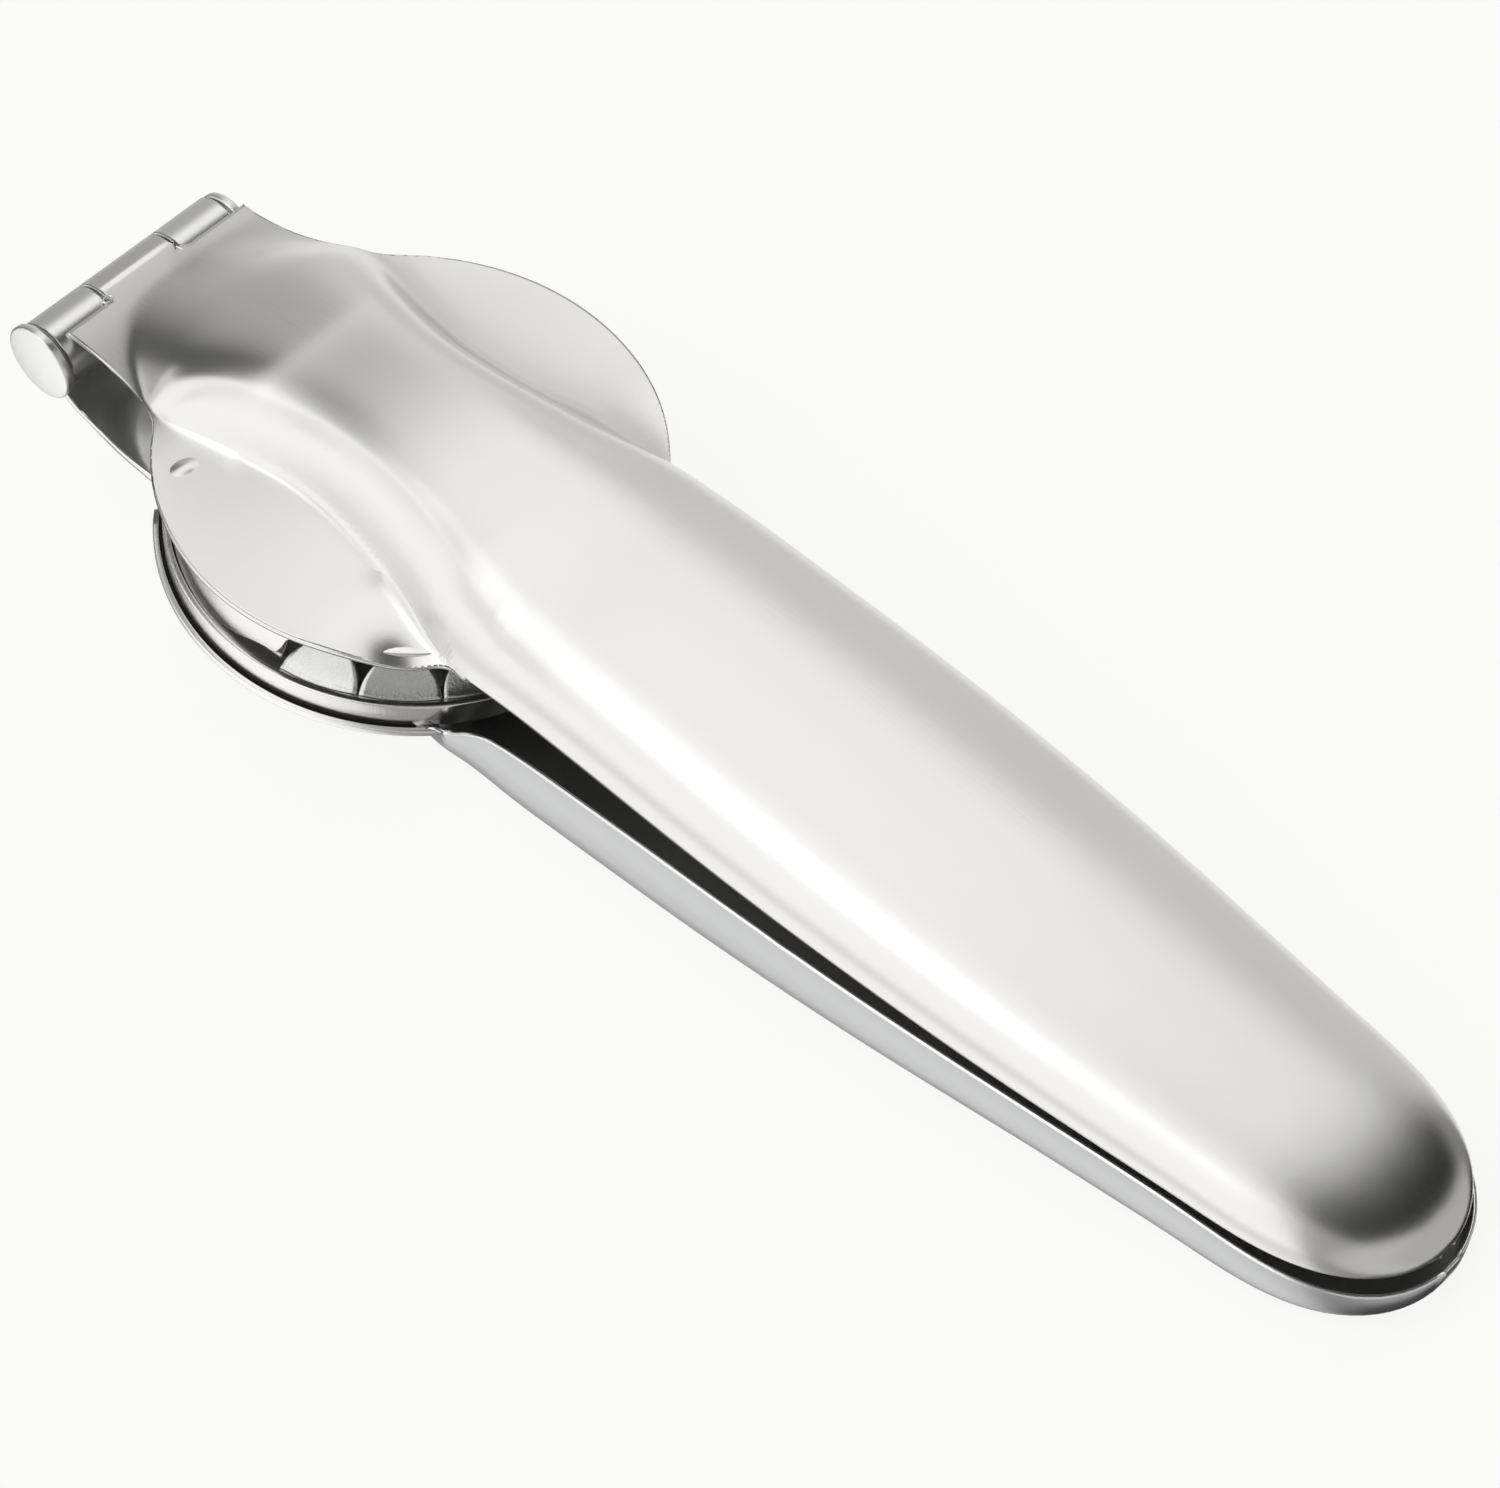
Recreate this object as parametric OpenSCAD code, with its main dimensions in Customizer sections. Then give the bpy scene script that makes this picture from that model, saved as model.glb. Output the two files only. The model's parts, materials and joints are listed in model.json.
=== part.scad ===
// Two-arm hand press, pressed from stainless sheet: a lid arm and a trough arm on one hinge pin.
// Each arm is a hinge plate, a round head and a hollow handle. The trough arm's head holds a ring
// of inward teeth, and the lid arm's head holds a skirted plate with a cross-shaped blade.
// The arms are laid out on the lid's rim plane, with +X from the pin to the tips,
// and then tipped so that the trough arm's belly rests on the XY plane.

/* [Arms] */
// Distance from the hinge pin's axis to the lid arm's tip
arm_l = 180; // [176:1:184]
// Thickness of the pressed sheet
sheet_t = 0.8; // [0.6:0.1:0.9]
// Radius of the lid arm's round head
lid_head_r = 27.6; // [27:0.1:28]
// Distance from the pin's axis to the middle of the lid arm's head
lid_head_x = 41; // [40.5:0.1:41.5]
// Radius of the trough arm's round head
trough_head_r = 28.3; // [28:0.1:28.6]
// Distance from the pin's axis to the middle of the trough arm's head
trough_head_x = 41.6; // [41.3:0.1:42]
// How far the trough arm's tip reaches past the lid arm's tip
tip_overhang = 1; // [0.5:0.1:1.5]

/* [Hinge] */
// Half the width of the lid arm's hinge plate at the pin
lid_plate_half_w = 13.3; // [13:0.1:13.5]
// Half the width of the trough arm's hinge plate at the pin
trough_plate_half_w = 14.9; // [14.5:0.1:15]
// Height of the pin's axis below the lid's rim plane
pin_drop = 5.8; // [5.6:0.1:6]
// Outer radius of the rolled knuckles
knuckle_r = 4.2; // [4:0.1:4.3]
// Radius of the hinge pin
pin_r = 3.34; // [3.3:0.01:3.36]
// Radial running clearance between the pin and the knuckles
pin_clearance = 0.06; // [0.04:0.01:0.09]
// Near end of the lid arm's knuckle, along the pin
lid_knuckle_near = -6.8; // [-7.5:0.1:-6]
// Far end of the lid arm's knuckle, along the pin
lid_knuckle_far = 3.7; // [3.5:0.1:5]
// Far end of the trough arm's far knuckle, along the pin
far_knuckle_end = 11.6; // [11.3:0.1:11.9]
// Gap along the pin between neighbouring knuckles
knuckle_gap = 0.2; // [0.15:0.05:0.3]
// Radius of the near cap on the pin
near_cap_r = 4.6; // [4.5:0.1:4.8]
// Radius of the far cap on the pin
far_cap_r = 4.1; // [4:0.1:4.3]
// Gap between a cap and the knuckle beside it
cap_gap = 0.3; // [0.2:0.1:0.4]
// Thickness of a cap at its rim
cap_rim_t = 0.95; // [0.8:0.05:1.1]
// Rise of a cap's domed face above its rim
cap_dome_t = 0.45; // [0.3:0.05:0.6]

/* [Toothed ring] */
// Outer radius of the band round the teeth
band_r = 27.2; // [27:0.1:27.4]
// Height of the band above the trough arm's flange
band_h = 2.9; // [2.7:0.1:3]
// Thickness of the band and of the toothed crown
band_t = 0.7; // [0.6:0.1:0.8]
// Number of teeth round the crown
tooth_count = 18; // [14:1:22]
// Radial reach of one tooth, seen from above
tooth_reach = 4.2; // [3.6:0.1:4.6]
// Rise of one tooth's point above its root
tooth_rise = 3.6; // [3:0.1:4]

/* [Lid insert] */
// Outer radius of the skirted plate under the lid
skirt_r = 26; // [25.6:0.1:26.1]
// Depth of the skirt's lower edge below the lid's rim plane, on the hinge side
skirt_drop = 8.2; // [7.6:0.1:8.3]
// Angle from the handle's direction at which the deep part of the skirt starts
skirt_open_angle = 80; // [70:1:90]
// Half the span of each cutting blade
blade_half_span = 15; // [13:0.5:16]
// Depth of the blades' point below the lid's rim plane
blade_drop = 7.2; // [6:0.1:7.4]

/* [Hidden] */

ridge_columns = 9;          // strips from an arm's middle line to the edge of its ridge
wing_columns = 3;           // strips from there to the arm's rim
tip_rows = 8;               // rows of the rounded tip
tip_start = 158;            // where the handles start to round off to their tips
nose_half_w = 0.8;          // half the width of the last row, which closes the nose
neck_x = 20;                // where the neck meets the round head
head_end = 66;              // where the head has run out into the handle
lid_front = 16.2;           // length of the rounded hinge end of the lid arm's ridge
trough_front = 14.5;        // length of the rounded hinge end of the trough arm's ridge
trough_tip = arm_l + tip_overhang;
trough_flange = -10.9;      // upper face of the trough arm's flange
bore_r = pin_r + pin_clearance;
notch_r = knuckle_r + 0.25; // plates are cut back to this radius round the other arm's knuckles
pin_z = -pin_drop;
near_end = -trough_plate_half_w;
crown_r = band_r - band_t - 0.2;
crown_top = trough_flange + band_h - band_t;
metal = [0.80, 0.80, 0.79];
bright_metal = [0.86, 0.86, 0.85];

// Places along the arms, from the hinge to the tip.
rows = concat([0.5, 2.5, 4.5, 6.5, 9, 12, 15, 17, 18.2, 19.2, 20.2, 21.5],
              [for (x = [24 : 3 : 60]) x],
              [61.5, 63, 64.5, 66, 68, 70, 73, 77, 82, 88],
              [for (x = [96 : 10 : 156]) x]);

// Profiles along the arms: each pair is a place along the arm and a value there.
lid_side = [[55, 17.1], [80, 17.3], [100, 17.5], [115, 17.2], [132, 16.3], [150, 14.7],
            [162, 13.6], [180, 13]];
lid_base = [[0, -1.75], [6, -1.3], [23, 0.4], [60, 0.4], [72, 0], [181, 0]];
lid_ridge_w = [[20, 15.6], [27, 13.8], [36, 12.4], [44, 12.8], [53, 14.4], [60, 16.5], [66, 17.2]];
lid_height = [[0, 7.2], [28, 7.2], [36, 7.8], [45, 8.6], [60, 9.3], [75, 9.6], [100, 9], [125, 8],
              [150, 6.6], [165, 5.7], [180, 5]];
lid_sharpness = [[0, 3], [20, 4.4], [48, 4.6], [60, 3.6], [75, 2.7], [181, 2.7]];
// Where the dome stops climbing from the hinge, and how far back its climb starts.
lid_climb = [28, 24];
lid_fullness = [[0, 1], [20, 1], [45, 1], [55, 0.8], [62, 0.58], [70, 0.42], [80, 0.37], [181, 0.37]];
// Centre of the soft dent at each end of the handle's junction with the head disc.
dent_x = 62.5;
dent_y = 21;

trough_side = [[55, 18.2], [75, 18.3], [97, 18.4], [108, 18.2], [118, 17.8], [128, 17.1],
               [138, 16.2], [150, 15], [162, 13.9], [181, 13.6]];
trough_rim = [[0, -9.05], [1.5, -9.4], [4.5, trough_flange], [60, trough_flange], [62.5, -10.7],
              [64.5, -9.6], [67, -7.6], [69.5, -6.1], [73, -5.2], [80, -4.3], [97, -2.7], [120, -1.6], [150, -1],
              [165, -1.3], [175, -1.8], [181, -2.2]];
trough_edge = [[0, sheet_t], [60, sheet_t], [70, 0], [181, 0]];
trough_ridge_w = [[20, 15.6], [27, 14.2], [36, 13.6], [44, 14.4], [53, 16.2], [60, 18], [66, 18.3]];
trough_belly = [[0, -16.8], [20, -16.8], [30, -18], [38, -19.1], [45, -19], [52, -18.4],
                [60, -17.6], [75, -16], [97, -13.8], [118, -11.4], [138, -9.4], [150, -8.8],
                [163, -8.3], [170, -7.8], [181, -6.6]];
trough_sharpness = [[0, 2.4], [50, 2.6], [75, 7], [181, 7]];
trough_fullness = [[0, 0.7], [20, 0.7], [36, 0.8], [50, 0.65], [60, 0.4], [70, 0.18],
                   [80, 0.143], [181, 0.143]];

// The press stands on the flat of its belly and on the flat under its tip.
rest_head = [45, -18.5];
rest_tip = [168, -7.8];
rest_slope = (rest_tip[1] - rest_head[1]) / (rest_tip[0] - rest_head[0]);
rest_tilt = atan(rest_slope);
lift = rest_head[0] * sin(rest_tilt) - rest_head[1] * cos(rest_tilt);
low_x = pin_z * sin(rest_tilt) - near_cap_r;
high_x = trough_tip * cos(rest_tilt) - 0.7 * sin(rest_tilt);
middle_x = (low_x + high_x) / 2;

// Smooth curve through stations s = [[x, value], ...], flat where neighbouring values are equal.
function secant(s, i, j) = (s[j][1] - s[i][1]) / (s[j][0] - s[i][0]);
function is_flat(s, i, j) = s[i][1] == s[j][1];
function tangent(s, i) =
    let (n = len(s) - 1)
    i == 0 ? secant(s, 0, 1) :
    i == n ? secant(s, n - 1, n) :
    is_flat(s, i, i - 1) || is_flat(s, i, i + 1) ? 0 :
    secant(s, i - 1, i + 1);
function span_at(s, x, i = 0) = i >= len(s) - 2 || x < s[i + 1][0] ? i : span_at(s, x, i + 1);
function curve(s, x) =
    let (q = min(max(x, s[0][0]), s[len(s) - 1][0]), i = span_at(s, q), h = s[i + 1][0] - s[i][0],
         t = (q - s[i][0]) / h)
    s[i][1] * (2 * t^3 - 3 * t^2 + 1) + tangent(s, i) * h * (t^3 - 2 * t^2 + t)
    + s[i + 1][1] * (3 * t^2 - 2 * t^3) + tangent(s, i + 1) * h * (t^3 - t^2);

// The larger of a and b, with the corner between them rounded over a width k.
function soft_max(a, b, k) = max(a, b) + max(k - abs(a - b), 0)^2 / (4 * k);
function smooth_step(t) = let (c = min(max(t, 0), 1)) c * c * (3 - 2 * c);

// How far into the rounded tip x is: 0 on the handle, 1 at the tip.
function tip_part(x, tip) = min(max((x - tip_start) / (tip - tip_start), 0), 1);

// Half-width of an arm at x: the hinge plate, then the round head, then the handle and its tip.
function half_width(x, plate, head_x, head_r, side, tip, tip_power) =
    let (disc = sqrt(max(head_r^2 - (x - head_x)^2, 0)),
         handle = curve(side, x) * sqrt(max(1 - tip_part(x, tip)^tip_power, 0)))
    x < neck_x + 0.5 ? soft_max(plate, disc, 0.8) :
    x > 50 ? soft_max(disc, handle, 1.5) : disc;
function lid_half_width(x) =
    half_width(x, lid_plate_half_w + 3.3 * (x / 19)^3, lid_head_x, lid_head_r, lid_side, arm_l, 2.8);
function trough_half_width(x) =
    half_width(x, trough_plate_half_w + 0.8 * smooth_step((x - 2) / 12),
               trough_head_x, trough_head_r, trough_side, trough_tip, 2.9);

// Height of the pressed ridge at (x, y), from 0 beside it to 1 along its top.
function ridge(x, y, half_w, ridge_w, front, sharp, full, tip, tip_power) =
    let (w = x < head_end ? min(curve(ridge_w, x), half_w) : half_w,
         s = x < neck_x ? ((abs(y) / w)^2.2 + ((neck_x - x) / front)^2.2)^(1 / 2.2) : abs(y) / w)
    (1 - tip_part(x, tip)^tip_power)^(1 / tip_power) * max(1 - min(s, 1)^sharp, 0)^full;

// Share of the dome's height reached on the way up from the hinge.
function climb(x) = 1 - min(max((lid_climb[0] - x) / lid_climb[1], 0), 1)^1.4;
function dent(x, y) = (y < 0 ? 2 : 0.6)
    * exp(-((x - dent_x) / 6)^2 - ((abs(y) - dent_y) / 4.5)^2);

// Upper face of the lid arm's sheet, and lower face of the trough arm's sheet.
function lid_z(x, y) =
    let (off = max(1 - ((x - lid_head_x)^2 + y^2) / lid_head_r^2, 0))
    curve(lid_base, x) + off^2 - dent(x, y)
    + curve(lid_height, x) * climb(x) * ridge(x, y, lid_half_width(x), lid_ridge_w, lid_front,
                                   curve(lid_sharpness, x), curve(lid_fullness, x), arm_l, 3);
function trough_z(x, y) =
    let (top = curve(trough_rim, x) - curve(trough_edge, x),
         z = top - (top - curve(trough_belly, x))
             * ridge(x, y, trough_half_width(x), trough_ridge_w, trough_front,
                     curve(trough_sharpness, x), curve(trough_fullness, x), trough_tip, 6))
    max(z, rest_head[1] + rest_slope * (x - rest_head[0]));

// Places of the rows that close in on the tip.
function tip_rows_x(tip) =
    [for (i = [0 : tip_rows - 1]) tip_start + (tip - tip_start) * sin(90 * i / tip_rows)];

// Half-width of the ridge's foot at x, kept off the middle line and off the rim.
function foot_half_width(x, half_w, ridge_w, front) =
    let (w = curve(ridge_w, x),
         foot = x < neck_x ? w * max(1 - ((neck_x - x) / front)^2.2, 0)^(1 / 2.2) : w)
    x < head_end ? min(max(foot, 0.5 * half_w), 0.95 * half_w) : 0.95 * half_w;

// Places across a row: a sine law out to the ridge's foot, and even steps from there to the rim.
function half_across(half_w, foot) = concat(
    [for (k = [0 : ridge_columns]) foot * sin(90 * k / ridge_columns)],
    [for (k = [1 : wing_columns]) foot + (half_w - foot) * k / wing_columns]);
function across(half_w, foot) =
    let (h = half_across(half_w, foot), n = len(h) - 1)
    concat([for (k = [n : -1 : 1]) -h[k]], h);
function lid_row(x) =
    let (w = lid_half_width(x))
    [for (y = across(w, foot_half_width(x, w, lid_ridge_w, lid_front))) [x, y, lid_z(x, y)]];
function trough_row(x) =
    let (w = trough_half_width(x))
    [for (y = across(w, foot_half_width(x, w, trough_ridge_w, trough_front))) [x, y, trough_z(x, y)]];
function nose_row(x, z) = [for (y = across(nose_half_w, 0.9 * nose_half_w)) [x, y, z]];
function lid_face() =
    concat([for (x = concat(rows, tip_rows_x(arm_l))) lid_row(x)], [nose_row(arm_l, 0)]);
function trough_face() = concat([for (x = concat(rows, tip_rows_x(trough_tip))) trough_row(x)],
                                [nose_row(trough_tip, curve(trough_rim, trough_tip))]);

// Unit normal of a grid of points g at row i and column j.
function unit(v) = v / norm(v);
function grid_normal(g, i, j) =
    let (m = len(g) - 1, n = len(g[0]) - 1)
    unit(cross(g[min(i + 1, m)][j] - g[max(i - 1, 0)][j], g[i][min(j + 1, n)] - g[i][max(j - 1, 0)]));
function offset_grid(g, d) =
    [for (i = [0 : len(g) - 1]) [for (j = [0 : len(g[0]) - 1]) g[i][j] + d * grid_normal(g, i, j)]];

// Closed sheet between two grids of points; side b is on the far side of a's normals.
module sheet_between(a, b) {
    m = len(a);
    n = len(a[0]);
    points = concat([for (r = a) each r], [for (r = b) each r]);
    far = m * n;
    function quad(p, q, r, s) = [[p, q, r], [p, r, s]];
    face_a = [for (i = [0 : m - 2], j = [0 : n - 2])
        each quad(i * n + j, i * n + j + 1, (i + 1) * n + j + 1, (i + 1) * n + j)];
    face_b = [for (i = [0 : m - 2], j = [0 : n - 2])
        each quad(far + i * n + j, far + (i + 1) * n + j,
                  far + (i + 1) * n + j + 1, far + i * n + j + 1)];
    sides = [for (i = [0 : m - 2])
        each concat(quad(i * n, (i + 1) * n, far + (i + 1) * n, far + i * n),
                    quad((i + 1) * n + n - 1, i * n + n - 1,
                         far + i * n + n - 1, far + (i + 1) * n + n - 1))];
    ends = [for (j = [0 : n - 2])
        each concat(quad(j + 1, j, far + j, far + j + 1),
                    quad((m - 1) * n + j, (m - 1) * n + j + 1,
                         far + (m - 1) * n + j + 1, far + (m - 1) * n + j))];
    polyhedron(points, concat(face_a, face_b, sides, ends), convexity = 10);
}

// Tips the press onto its belly and puts the origin under the middle of its box.
module at_rest() {
    translate([-middle_x, 0, lift]) rotate([0, rest_tilt, 0]) children();
}

// Cylinder about the pin's axis, from y = near to y = far.
module pin_cylinder(r, near, far) {
    translate([0, far, pin_z]) rotate([90, 0, 0]) cylinder(r = r, h = far - near, $fn = 64);
}

module tube(outer, inner, low, high, middle) {
    translate([middle, 0, low]) difference() {
        cylinder(r = outer, h = high - low, $fn = 120);
        translate([0, 0, -1]) cylinder(r = inner, h = high - low + 2, $fn = 120);
    }
}

module upper_arm() {
    face = lid_face();
    color(metal) at_rest() difference() {
        union() {
            difference() {
                sheet_between(face, offset_grid(face, -sheet_t));
                pin_cylinder(notch_r, near_end - 1, lid_knuckle_near);
                pin_cylinder(notch_r, lid_knuckle_far, lid_plate_half_w + 1);
            }
            pin_cylinder(knuckle_r, lid_knuckle_near, lid_knuckle_far);
        }
        pin_cylinder(bore_r, lid_knuckle_near - 1, lid_knuckle_far + 1);
    }
}

// Far corner of the trough arm's hinge plate, which is cut back to the far knuckle.
module far_corner() {
    outside = trough_plate_half_w + 2;
    translate([0, 0, -20]) linear_extrude(20)
        polygon([[-6, far_knuckle_end], [2, far_knuckle_end], [7, outside], [-6, outside]]);
}

module lower_arm() {
    face = trough_face();
    near_knuckle_end = lid_knuckle_near - knuckle_gap;
    far_knuckle_start = lid_knuckle_far + knuckle_gap;
    color(metal) at_rest() difference() {
        union() {
            difference() {
                sheet_between(offset_grid(face, sheet_t), face);
                pin_cylinder(notch_r, near_knuckle_end, far_knuckle_start);
                far_corner();
            }
            pin_cylinder(knuckle_r, near_end, near_knuckle_end);
            pin_cylinder(knuckle_r, far_knuckle_start, far_knuckle_end);
        }
        pin_cylinder(bore_r, near_end - 1, far_knuckle_end + 1);
    }
}

module hinge_pin() {
    inset = cap_gap + cap_rim_t - 0.35;
    color(bright_metal) at_rest() pin_cylinder(pin_r, near_end - inset, far_knuckle_end + inset);
}

// Cap with a slightly domed face, beside the knuckle that ends at y = side * knuckle_end.
module pin_cap(side, knuckle_end, cap_r) {
    inner = knuckle_end + cap_gap;
    rim_end = inner + cap_rim_t;
    dome_r = (cap_r^2 + cap_dome_t^2) / (2 * cap_dome_t);
    arc = [for (k = [0 : 6]) let (r = cap_r * (1 - k / 6))
        [r, rim_end + cap_dome_t - dome_r + sqrt(dome_r^2 - r^2)]];
    color(bright_metal) at_rest()
        translate([0, 0, pin_z]) rotate([-90 * side, 0, 0]) rotate_extrude($fn = 64)
            polygon(concat([[0, rim_end - 0.35], [pin_r, rim_end - 0.35], [pin_r, inner], [cap_r, inner]],
                           arc));
}

module near_pin_cap() {
    pin_cap(-1, -near_end, near_cap_r);
}

module far_pin_cap() {
    pin_cap(1, far_knuckle_end, far_cap_r);
}

module ring_band() {
    color(bright_metal) at_rest()
        tube(band_r, band_r - band_t, trough_flange, trough_flange + band_h, trough_head_x);
}

module tooth() {
    root_r = crown_r - 2.2;
    half_w = root_r * tan(180 / tooth_count) * 0.92;
    length = norm([tooth_reach, tooth_rise]);
    translate([root_r + 0.4, 0, -band_t]) rotate([0, atan(tooth_rise / tooth_reach), 0]) rotate([0, 0, 180])
        linear_extrude(band_t) polygon([[-0.2, half_w], [-0.2, -half_w], [length, 0]]);
}

module tooth_crown() {
    color(bright_metal) at_rest() union() {
        tube(crown_r, crown_r - 2.4, crown_top - band_t, crown_top, trough_head_x);
        tube(crown_r, crown_r - band_t, trough_flange, crown_top - band_t / 2, trough_head_x);
        translate([trough_head_x, 0, crown_top]) for (k = [0 : tooth_count - 1])
            rotate([0, 0, 360 / tooth_count * (k + 0.55)]) tooth();
    }
}

module skirt_plate() {
    under = -sheet_t / 2;
    shallow = under - 1.9;
    open_x = trough_head_x + skirt_r * cos(skirt_open_angle);
    color(bright_metal) at_rest() difference() {
        union() {
            translate([trough_head_x, 0, under - sheet_t]) cylinder(r = skirt_r, h = sheet_t, $fn = 120);
            tube(skirt_r, skirt_r - sheet_t, -skirt_drop, under - sheet_t / 2, trough_head_x);
        }
        translate([open_x, -skirt_r - 1, -skirt_drop - 1])
            cube([2 * skirt_r, 2 * skirt_r + 2, skirt_drop + 1 + shallow]);
    }
}

module cross_blade() {
    top = -1.5 * sheet_t;
    shoulder = top - 1.2;
    color(bright_metal) at_rest() translate([trough_head_x, 0, 0]) for (turn = [0, 90])
        rotate([0, 0, turn]) translate([0, sheet_t / 2, 0]) rotate([90, 0, 0]) linear_extrude(sheet_t)
            polygon([[-blade_half_span, top], [-blade_half_span, shoulder], [0, -blade_drop],
                     [blade_half_span, shoulder], [blade_half_span, top]]);
}

upper_arm();
lower_arm();
hinge_pin();
near_pin_cap();
far_pin_cap();
ring_band();
tooth_crown();
skirt_plate();
cross_blade();
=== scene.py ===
import json
import math

import bpy
import numpy as np
from mathutils import Matrix, Vector


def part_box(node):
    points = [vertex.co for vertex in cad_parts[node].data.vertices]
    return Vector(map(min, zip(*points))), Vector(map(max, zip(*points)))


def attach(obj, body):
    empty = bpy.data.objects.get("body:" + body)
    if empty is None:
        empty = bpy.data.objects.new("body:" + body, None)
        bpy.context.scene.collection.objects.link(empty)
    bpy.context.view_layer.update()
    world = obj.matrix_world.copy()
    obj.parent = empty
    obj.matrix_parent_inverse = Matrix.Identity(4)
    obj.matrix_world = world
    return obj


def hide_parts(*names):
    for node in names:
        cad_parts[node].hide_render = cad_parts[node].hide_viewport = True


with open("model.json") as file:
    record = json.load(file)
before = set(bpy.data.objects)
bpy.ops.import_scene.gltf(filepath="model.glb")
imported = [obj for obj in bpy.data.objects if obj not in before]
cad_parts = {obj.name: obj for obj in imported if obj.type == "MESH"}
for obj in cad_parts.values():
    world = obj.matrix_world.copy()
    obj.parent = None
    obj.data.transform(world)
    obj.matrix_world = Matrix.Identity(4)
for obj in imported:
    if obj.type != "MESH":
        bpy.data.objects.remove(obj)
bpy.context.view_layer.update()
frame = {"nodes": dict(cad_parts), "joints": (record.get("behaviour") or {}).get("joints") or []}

# ---------------------------------------------------------------------------
# The arms are laid out in millimetres in the arm frame: x from the pin's axis to the tips, z = 0 on the
# lid's rim plane. place() takes such points to the row frame, in metres, as the CAD does: the trough
# arm rests on its belly at REST_HEAD and REST_TIP, so the whole press is tilted by TILT.
HINGE = frame["joints"][0]["pos_m"]
PIN_Z = -5.8
REST_HEAD, REST_TIP = (45, -18.5), (168, -7.8)
REST_SLOPE = (REST_TIP[1] - REST_HEAD[1]) / (REST_TIP[0] - REST_HEAD[0])
TILT = math.atan(REST_SLOPE)
SIN, COS = math.sin(TILT), math.cos(TILT)
OFFSET = np.array([HINGE[0] * 1000 - PIN_Z * SIN, 0.0, HINGE[2] * 1000 - PIN_Z * COS])


def turn(points):
    """Directions in the arm frame, turned to the row frame."""
    p = np.asarray(points, float)
    return np.stack([p[..., 0] * COS + p[..., 2] * SIN, p[..., 1], -p[..., 0] * SIN + p[..., 2] * COS], -1)


def place(points):
    """Points in the arm frame and in millimetres, taken to the row frame and to metres."""
    return (turn(points) + OFFSET) / 1000


# ---------------------------------------------------------------------------
# Profiles along the arms, as in the CAD: [place along the arm, value].
T = 0.8                             # sheet thickness
ARM_L, TROUGH_TIP = 180.0, 180.92   # tips of the lid and trough arms
TIP_START = 158                     # where the handles start to round off
NECK_X, HEAD_END = 20, 66           # where the neck meets the head, and where the head has run out
LID_FRONT, TROUGH_FRONT = 16.2, 14.5  # length of the ridges' rounded hinge ends
LID_X, LID_R = 41.0, 27.6           # the lid head's middle and radius
TROUGH_X, TROUGH_R = 41.6, 28.3     # the trough head's middle and radius
NOTCH_X = 1.7                       # how far the notches beside the knuckles reach from the pin's axis
KNUCKLE_R = 4.2
NEAR_END, FAR_END = -14.9, 11.6     # ends of the trough's outer knuckles
LID_KNUCKLE = (-6.8, 3.7)           # ends of the lid's middle knuckle
DENT_X, DENT_Y = 62.5, 21           # middle of the shallow dent in each of the lid's corners by the handle
COLUMNS_RIDGE, COLUMNS_WING = 34, 13  # columns of the sheets' grids, on each side of the middle line

LID_SIDE = [[55, 17.1], [80, 17.3], [100, 17.5], [115, 17.2], [132, 16.3], [150, 14.7], [162, 13.6],
            [180, 13]]
LID_BASE = [[0, -1.65], [6, -1.25], [23, 0.4], [60, 0.4], [72, 0], [181, 0]]
LID_RIDGE_W = [[20, 15.6], [27, 13.8], [36, 12.4], [44, 12.8], [53, 14.4], [60, 16.5], [66, 17.2]]
LID_HEIGHT = [[0, 7.2], [28, 7.2], [36, 7.8], [45, 8.6], [60, 9.3], [75, 9.6], [100, 9], [125, 8], [150, 6.6],
              [165, 5.7], [180, 5]]
LID_SHARP = [[0, 3], [20, 4.4], [48, 4.6], [60, 3.6], [75, 2.7], [181, 2.7]]
LID_FULL = [[0, 1], [20, 1], [45, 1], [55, 0.8], [62, 0.58], [70, 0.42], [80, 0.37], [181, 0.37]]
TROUGH_SIDE = [[55, 18.2], [75, 18.3], [97, 18.4], [108, 18.2], [118, 17.8], [128, 17.1], [138, 16.2],
               [150, 15], [162, 13.9], [181, 13.6]]
TROUGH_RIM = [[0, -9.2], [1.5, -9.5], [4.5, -10.9], [60, -10.9], [62.5, -10.7], [64.5, -9.6], [67, -7.6],
              [69.5, -6.1], [73, -5.2], [80, -4.3], [97, -2.7], [120, -1.6], [150, -1], [165, -1.3],
              [175, -1.8], [181, -2.2]]
TROUGH_EDGE = [[0, T], [60, T], [70, 0], [181, 0]]
TROUGH_RIDGE_W = [[20, 15.6], [27, 14.2], [36, 13.6], [44, 14.4], [53, 16.2], [60, 18], [66, 18.3]]
TROUGH_BELLY = [[0, -16.8], [20, -16.8], [30, -18], [38, -19.1], [45, -19], [52, -18.4], [60, -17.6],
                [75, -16], [97, -13.8], [118, -11.4], [138, -9.4], [150, -8.8], [163, -8.3], [170, -7.8],
                [181, -6.6]]
TROUGH_SHARP = [[0, 2.4], [50, 2.6], [75, 7], [181, 7]]
TROUGH_FULL = [[0, 0.7], [20, 0.7], [36, 0.8], [50, 0.65], [60, 0.4], [70, 0.18], [80, 0.143],
               [181, 0.143]]


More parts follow.
